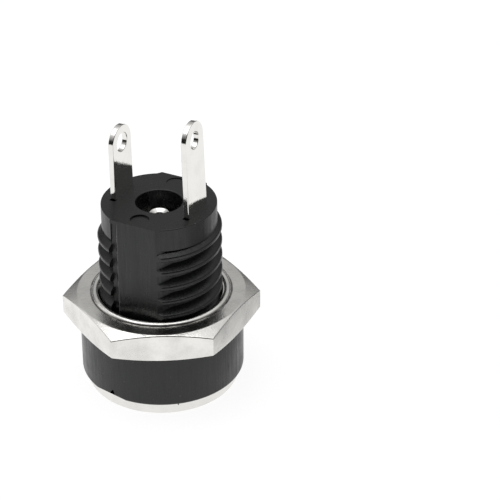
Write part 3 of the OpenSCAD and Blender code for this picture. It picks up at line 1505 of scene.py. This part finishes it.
@dataclass
class Lug:
    """Stamped solder lug in a plane of constant X, with a wire hole near its tip."""

    at_x: float
    width: float
    low: float
    tip: float
    hole_r: float
    lean: float = 0.0
    twist: float = 0.0
    lean_z: float = 13.0
    thick: float = 0.36
    edge: float = 0.05

    def build(self, name: str) -> bpy.types.Object:
        """Builds the lug.

        Args:
            name: Name of the new object.

        Returns:
            The lug with its rounded tip and hole.
        """
        hole_z = self.tip - self.width / 2
        half = self.width / 2
        steps = 28
        end = [
            (half * math.cos(math.pi * i / steps), hole_z + half * math.sin(math.pi * i / steps))
            for i in range(steps + 1)
        ]
        obj = chain(name, [(half, self.low), *end, (-half, self.low)])
        with editing(obj, "EDGE"):
            bpy.ops.mesh.select_all(action="SELECT")
            bpy.ops.mesh.edge_face_add()
            bpy.ops.mesh.extrude_region_move(TRANSFORM_OT_translate={"value": (0, self.thick, 0)})
        clean(obj)
        side = Matrix.Translation((self.at_x + self.thick / 2, 0, 0)) @ Matrix.Rotation(math.pi / 2, 4, "Z")
        obj.data.transform(side)
        drill = rod(
            "drill", self.hole_r, (self.at_x - 1, 0, hole_z), (self.at_x + 1, 0, hole_z), 64
        )
        combine(obj, drill, Cut.TAKE_AWAY)
        bevel_edges(obj, lambda e: sharp_edge(e, 60), self.edge, 3)
        self.set_lean(obj)
        return obj

    def set_lean(self, obj: bpy.types.Object) -> None:
        """Leans and twists the part of the lug above the moulding.

        Args:
            obj: The lug.
        """
        with editing(obj):
            bpy.ops.mesh.select_all(action="SELECT")
            bpy.ops.mesh.bisect(plane_co=(0, 0, self.lean_z), plane_no=(0, 0, 1))
            bpy.ops.mesh.select_all(action="DESELECT")
            pick_verts(obj, lambda co: co.z > self.lean_z + 0.01)
            for axis, angle in (("Y", self.lean), ("Z", self.twist)):
                bpy.ops.transform.rotate(
                    value=math.radians(angle),
                    orient_axis=axis,
                    center_override=(self.at_x, 0, self.lean_z),
                )


@dataclass
class PinTerminal:
    """Strip that the centre pin is riveted to: eye, arm, square bend and lug."""

    lug: Lug = field(default_factory=lambda: Lug(-2.66, 2.3, 11.86, 17.76, 0.62, 0.7))
    arm_z: float = 11.25
    arm_w: float = 1.8
    eye_r: float = 1.3
    tail_r: float = 0.5
    bend_r: float = 0.25

    def shape(self, name: str) -> bpy.types.Object:
        """Builds the strip's shape.

        Args:
            name: Name of the new object.

        Returns:
            The strip.
        """
        thick = self.lug.thick
        top = self.arm_z + thick
        bend_x = self.lug.at_x + thick / 2 + self.bend_r
        obj = self.lug.build(name)
        arm = block("arm", (bend_x, -self.arm_w / 2, self.arm_z), (0, self.arm_w / 2, top))
        combine(arm, rod("eye", self.eye_r, (0, 0, self.arm_z), (0, 0, top)), Cut.JOIN)
        elbow = rod(
            "elbow",
            self.bend_r + thick,
            (bend_x, -self.arm_w / 2, top + self.bend_r),
            (bend_x, self.arm_w / 2, top + self.bend_r),
        )
        combine(
            elbow,
            rod(
                "inside",
                self.bend_r,
                (bend_x, -2, top + self.bend_r),
                (bend_x, 2, top + self.bend_r),
            ),
            Cut.TAKE_AWAY,
        )
        combine(
            elbow,
            block("quarter", (bend_x - 2, -3, self.arm_z - 1), (bend_x, 3, top + self.bend_r)),
            Cut.KEEP_COMMON,
        )
        combine(arm, elbow, Cut.JOIN)
        combine(obj, arm, Cut.JOIN)
        combine(
            obj, rod("tail", self.tail_r, (0, 0, self.arm_z - 1), (0, 0, top + 1)), Cut.TAKE_AWAY
        )
        return obj

    def build(self, material: bpy.types.Material) -> bpy.types.Object:
        """Builds the terminal.

        Args:
            material: Its finish.

        Returns:
            The finished piece.
        """
        return finish_piece(
            self.shape("pin_strip"), material, Body.JACK, ["pin_terminal"]
        )


@dataclass
class SleeveContact:
    """Folded strip: solder lug, joggle in the rear wall, and the bowed leaf in the socket."""

    lug: Lug = field(default_factory=lambda: Lug(2.6, 2.45, 11.25, 19.16, 0.56, 1.7, -2.0))
    leaf_r: float = 2.93
    leaf_angle: float = 44.0
    top_z: float = 10.6
    tip_z: float = 4.2
    touch_z: float = 5.8
    touch_r: float = 2.45
    run: float = 2.4

    def bow(self) -> list[tuple[float, float]]:
        """Middle line of the leaf, as radius against height.

        Returns:
            Its points from the tip upwards.
        """
        depth = self.leaf_r - self.lug.thick / 2 - self.touch_r
        bend = 2 * math.atan(depth / self.run)
        radius = self.run / 2 / math.sin(bend)
        points = []
        steps = 10
        low_angle = math.asin((self.touch_z - self.tip_z) / radius)
        for i in range(steps + 1):
            angle = -low_angle + (low_angle + bend) * i / steps
            points.append(
                (
                    self.leaf_r - depth + radius - radius * math.cos(angle),
                    self.touch_z + radius * math.sin(angle),
                )
            )
        for i in range(1, steps + 1):
            angle = bend * (1 - i / steps)
            points.append(
                (
                    self.leaf_r - radius + radius * math.cos(angle),
                    self.touch_z + self.run - radius * math.sin(angle),
                )
            )
        points.append((self.leaf_r, self.top_z))
        return points

    def leaf(self) -> bpy.types.Object:
        """The curved leaf, swept round the axis and given its thickness.

        Returns:
            A closed mesh.
        """
        obj = chain("leaf", self.bow(), closed=False)
        half = math.radians(self.leaf_angle / 2)
        obj.data.transform(Matrix.Rotation(-half, 4, "Z"))
        with editing(obj):
            bpy.ops.mesh.select_all(action="SELECT")
            bpy.ops.mesh.spin(steps=16, angle=2 * half, center=(0, 0, 0), axis=(0, 0, 1))
        clean(obj)
        wall = obj.modifiers.new("Sheet", "SOLIDIFY")
        wall.thickness = self.lug.thick
        wall.offset = 0
        apply_modifier(obj, wall)
        clean(obj)
        bevel_edges(obj, lambda e: sharp_edge(e, 60), 0.05, 2)
        return obj

    def joggle(self) -> bpy.types.Object:
        """Sloping stretch between the leaf and the lug.

        Returns:
            A closed mesh.
        """
        thick = self.lug.thick
        width = 2 * self.leaf_r * math.sin(math.radians(self.leaf_angle / 2))
        obj = chain(
            "joggle",
            [
                (self.lug.at_x - thick / 2, self.lug.low + 0.09),
                (self.lug.at_x + thick / 2, self.lug.low + 0.09),
                (self.leaf_r + thick / 2, self.top_z - 0.05),
                (self.leaf_r - thick / 2 - 0.1, self.top_z - 0.05),
            ],
        )
        obj.data.transform(Matrix.Translation((0, -width / 2, 0)))
        with editing(obj, "EDGE"):
            bpy.ops.mesh.select_all(action="SELECT")
            bpy.ops.mesh.edge_face_add()
            bpy.ops.mesh.extrude_region_move(TRANSFORM_OT_translate={"value": (0, width, 0)})
        clean(obj)
        return obj

    def shape(self, name: str) -> bpy.types.Object:
        """Builds the strip's shape.

        Args:
            name: Name of the new object.

        Returns:
            The strip.
        """
        obj = self.lug.build(name)
        combine(obj, self.joggle(), Cut.JOIN)
        combine(obj, self.leaf(), Cut.JOIN)
        return obj

    def build(self, material: bpy.types.Material) -> bpy.types.Object:
        """Builds the contact.

        Args:
            material: Its finish.

        Returns:
            The finished piece.
        """
        return finish_piece(
            self.shape("sleeve_strip"), material, Body.JACK, ["sleeve_contact"]
        )


# ---------------------------------------------------------------- studio


@dataclass
class Softbox:
    """Rectangular lamp that faces the jack."""

    name: str
    place: tuple[float, float, float]
    size: tuple[float, float]
    radiance: float

    def build(self) -> bpy.types.Object:
        """Adds the lamp.

        Returns:
            The lamp object.
        """
        deselect_all()
        bpy.ops.object.light_add(type="AREA", location=[v * MM for v in self.place])
        lamp = bpy.context.active_object
        lamp.name = self.name
        lamp.data.shape = "RECTANGLE"
        lamp.data.size, lamp.data.size_y = (v * MM for v in self.size)
        area = self.size[0] * self.size[1] * MM * MM
        lamp.data.energy = self.radiance * math.pi * area
        aim = Vector((0, 0, 8 * MM)) - lamp.location
        lamp.rotation_euler = aim.to_track_quat("-Z", "Y").to_euler()
        return lamp


@dataclass
class Studio:
    """Pale floor, white surroundings, soft lamps and the camera."""

    azimuth: float = 26.5
    elevation: float = 31.1
    roll: float = -0.11
    shift_across: float = -5.717
    shift_up: float = -8.049
    distance: float = 132.7
    lens: float = 144.0
    floor_size: float = 1200.0
    floor_share: float = 0.7
    floor_white: float = 1.22
    flag_place: tuple[float, float, float] = (21.0, 8.0, 0.0)
    flag_reach: tuple[float, float] = (8.0, 14.5)
    flag_level: float = 0.15
    sky_light: float = 0.55
    sky_levels: tuple[float, float] = (0.5, 1.0)
    horizon: float = 0.12
    room_share: float = 0.12
    lamps: tuple[Softbox, ...] = (
        Softbox("overhead", (-40, -30, 230), (260, 220), 0.9),
        Softbox("left", (-240, -60, 90), (160, 180), 0.6),
    )

    def camera(self) -> bpy.types.Object:
        """Adds the camera at its measured place.

        Returns:
            The camera object.
        """
        turn, rise, tilt = (math.radians(v) for v in (self.azimuth, self.elevation, self.roll))
        back = Vector(
            (math.sin(turn) * math.cos(rise), -math.cos(turn) * math.cos(rise), math.sin(rise))
        )
        right = Vector((math.cos(turn), math.sin(turn), 0))
        up = back.cross(right)
        across = right * math.cos(tilt) + up * math.sin(tilt)
        upward = -right * math.sin(tilt) + up * math.cos(tilt)
        place = back * self.distance - across * self.shift_across - upward * self.shift_up
        deselect_all()
        bpy.ops.object.camera_add()
        camera = bpy.context.active_object
        camera.name = "camera"
        matrix = Matrix((across, upward, back)).transposed().to_4x4()
        matrix.translation = place * MM
        camera.matrix_world = matrix
        camera.data.lens = self.lens
        camera.data.sensor_width = 36
        camera.data.clip_start = 0.01
        camera.data.clip_end = 10
        bpy.context.scene.camera = camera
        return camera

    def floor(self) -> bpy.types.Object:
        """Adds the floor, which looks white and keeps a soft shadow.

        Returns:
            The floor object.
        """
        deselect_all()
        bpy.ops.mesh.primitive_grid_add(
            x_subdivisions=8, y_subdivisions=8, size=self.floor_size * MM, location=(0, 0, -0.00002)
        )
        obj = bpy.context.active_object
        obj.name = "floor"
        material, tree, shader = start_material("pale_floor")
        shader.inputs["Base Color"].default_value = (0.8, 0.8, 0.8, 1)
        shader.inputs["Roughness"].default_value = 0.9
        shader.inputs["Specular IOR Level"].default_value = 0.0
        path = add_node(tree, "LightPath")
        seen = math_node(tree, "MAXIMUM", path.outputs["Is Camera Ray"], path.outputs["Is Transmission Ray"])
        mirrored = math_node(tree, "MULTIPLY", path.outputs["Is Glossy Ray"], self.floor_gloss(tree))
        glow = add_node(tree, "Emission")
        strength = math_node(tree, "ADD", math_node(tree, "MULTIPLY", seen, self.floor_white), mirrored)
        tree.links.new(strength, glow.inputs["Strength"])
        share = math_node(tree, "MAXIMUM", seen, path.outputs["Is Glossy Ray"])
        mix = add_node(tree, "MixShader")
        tree.links.new(math_node(tree, "MULTIPLY", share, self.floor_share), mix.inputs[0])
        tree.links.new(shader.outputs[0], mix.inputs[1])
        tree.links.new(glow.outputs[0], mix.inputs[2])
        tree.links.new(mix.outputs[0], tree.nodes["Material Output"].inputs["Surface"])
        obj.data.materials.append(material)
        return obj

    def floor_gloss(self, tree: bpy.types.NodeTree) -> bpy.types.NodeSocket:
        """Brightness of the floor as glossy surfaces mirror it, with a dark flag's patch.

        Args:
            tree: The floor's node tree.

        Returns:
            The brightness.
        """
        coordinates = add_node(tree, "TexCoord")
        offset = add_node(tree, "VectorMath", operation="DISTANCE")
        tree.links.new(coordinates.outputs["Object"], offset.inputs[0])
        offset.inputs[1].default_value = [v * MM for v in self.flag_place]
        return spread(
            tree,
            offset.outputs["Value"],
            self.flag_reach[0] * MM,
            self.flag_reach[1] * MM,
            self.flag_level,
            self.floor_white,
        )

    def surroundings(self) -> None:
        """White surroundings. Glossy surfaces mirror them dimmer at the sides than overhead."""
        world = bpy.data.worlds.new("surroundings")
        bpy.context.scene.world = world
        world.use_nodes = True
        tree = world.node_tree
        path = add_node(tree, "LightPath")
        seen = math_node(tree, "MAXIMUM", path.outputs["Is Camera Ray"], path.outputs["Is Transmission Ray"])
        glossy = math_node(tree, "MULTIPLY", path.outputs["Is Glossy Ray"], self.sky_gloss(tree))
        rest = math_node(
            tree, "SUBTRACT", 1.0, math_node(tree, "MAXIMUM", seen, path.outputs["Is Glossy Ray"])
        )
        light = math_node(tree, "MULTIPLY", rest, self.sky_light)
        strength = math_node(tree, "ADD", math_node(tree, "ADD", seen, glossy), light)
        background = tree.nodes["Background"]
        background.inputs["Color"].default_value = (1, 1, 1, 1)
        tree.links.new(strength, background.inputs["Strength"])

    def sky_gloss(self, tree: bpy.types.NodeTree) -> bpy.types.NodeSocket:
        """Brightness of the surroundings by direction, as glossy surfaces mirror them.

        Args:
            tree: The world's node tree.

        Returns:
            The brightness.
        """
        coordinates = add_node(tree, "TexCoord")
        split = add_node(tree, "SeparateXYZ")
        tree.links.new(coordinates.outputs["Generated"], split.inputs[0])
        level = spread(tree, split.outputs["Z"], 0.62, 0.85, *self.sky_levels)
        edge = spread(tree, split.outputs["Z"], 0.3, 0.48, self.horizon / self.sky_levels[0], 1.0)
        level = math_node(tree, "MULTIPLY", level, edge)
        front = add_node(tree, "VectorMath", operation="DOT_PRODUCT")
        turn = math.radians(self.azimuth)
        tree.links.new(coordinates.outputs["Generated"], front.inputs[0])
        front.inputs[1].default_value = (math.sin(turn), -math.cos(turn), 0)
        room = spread(tree, front.outputs["Value"], 0.35, 0.6, 1.0, self.room_share)
        return math_node(tree, "MULTIPLY", level, room)

    def build(self) -> None:
        """Adds everything and sets how colours are shown."""
        bpy.context.scene.view_settings.view_transform = "Standard"
        self.surroundings()
        self.floor()
        for lamp in self.lamps:
            lamp.build()
        self.camera()


def corners(bounds: tuple[Vector, Vector]) -> list[list[float]]:
    """Two corners of a box as plain lists of numbers."""
    return [[round(v, 7) for v in corner] for corner in bounds]


def main() -> None:
    """Builds the jack and its studio, piece by piece."""
    logging.basicConfig(level=logging.INFO, format="%(name)s: %(message)s")
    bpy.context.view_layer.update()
    shop = Workshop()
    plastic = BlackMoulding().build(shop)
    nut_plate = NickelPlate(
        "nut_nickel",
        dull=(0.62, 0.61, 0.59),
        roughness=(0.12, 0.3),
        haze=0.6,
        grain_depth=0.01,
        shade_ring_r=4.57,
    ).build(shop)
    ring_plate = NickelPlate(
        "ring_nickel", roughness=(0.12, 0.26), rings=14.0, ring_depth=0.004
    ).build(shop)
    contact_plate = NickelPlate("contact_nickel", roughness=(0.06, 0.14), grain=5.0).build(shop)
    terminal, contact = PinTerminal(), SleeveContact()
    strips = [terminal.shape("terminal_room"), contact.shape("contact_room")]
    Housing().build(plastic, strips, (terminal.lug, contact.lug))
    FaceRing().build(ring_plate)
    HexNut().build(nut_plate)
    CentrePin().build(contact_plate)
    terminal.build(contact_plate)
    contact.build(contact_plate)
    Studio().build()


if __name__ == "__main__":
    main()
